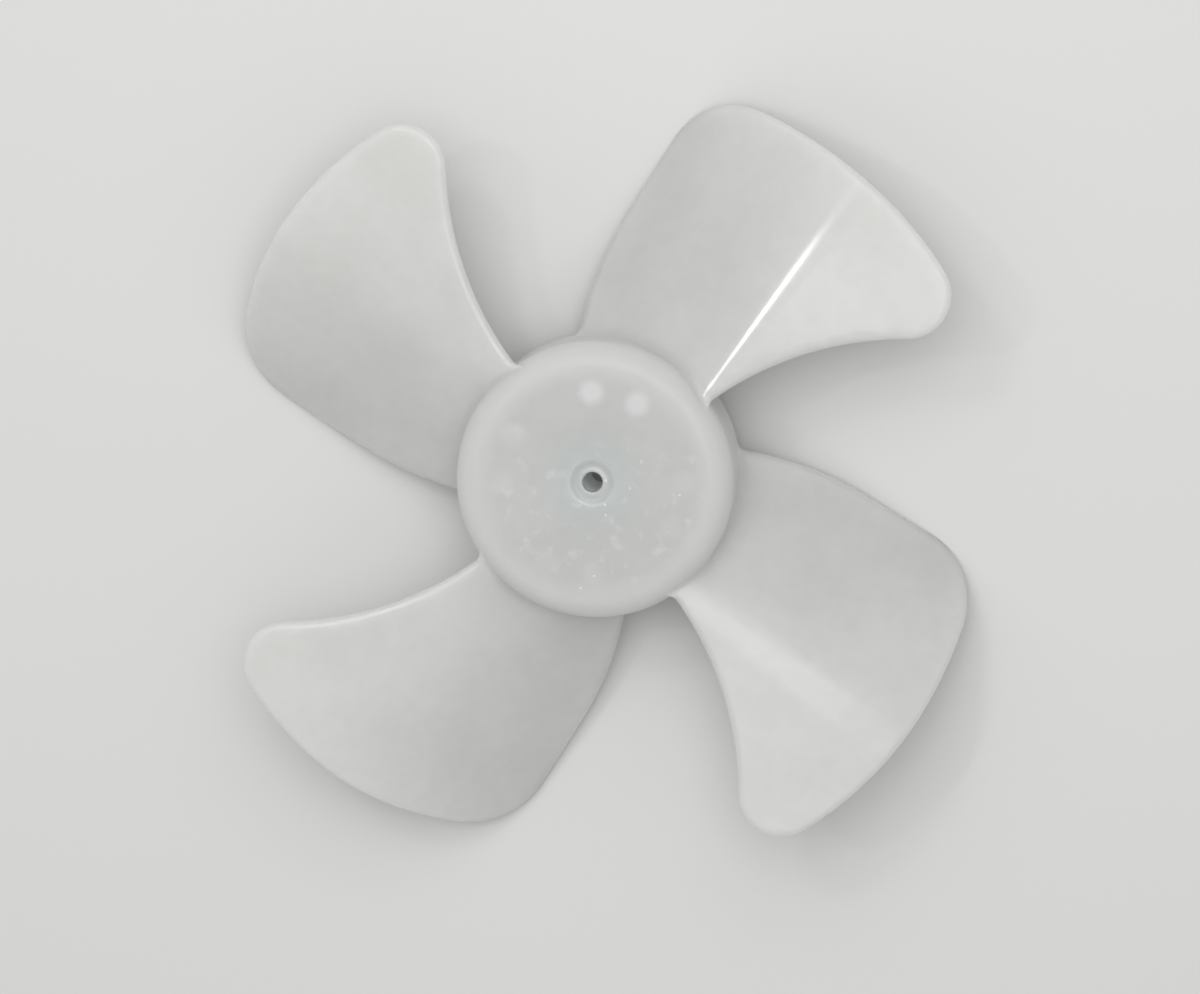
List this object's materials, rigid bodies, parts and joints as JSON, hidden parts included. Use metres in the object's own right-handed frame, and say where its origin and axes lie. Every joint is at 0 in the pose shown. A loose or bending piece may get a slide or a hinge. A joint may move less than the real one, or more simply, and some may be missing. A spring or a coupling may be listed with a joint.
{
  "type": "refrigerator fan blade",
  "caption": "Moulded axial fan wheel with a closed cup hub, a shaft boss and swept, bent blades, that moves cold air inside a refrigerator.",
  "frame": {"origin": "on the wheel's axis, in the plane that the blades' low corners rest on", "axes": "+Z along the axis, towards the hub's closed face; +X and +Y across the wheel"},
  "size_m": [0.107, 0.107, 0.0208],
  "materials": {
    "natural_plastic": "natural milky polypropylene, translucent, satin moulded surface"
  },
  "bodies": {
    "root": {"fan_wheel": "natural_plastic"}
  },
  "joints": []
}
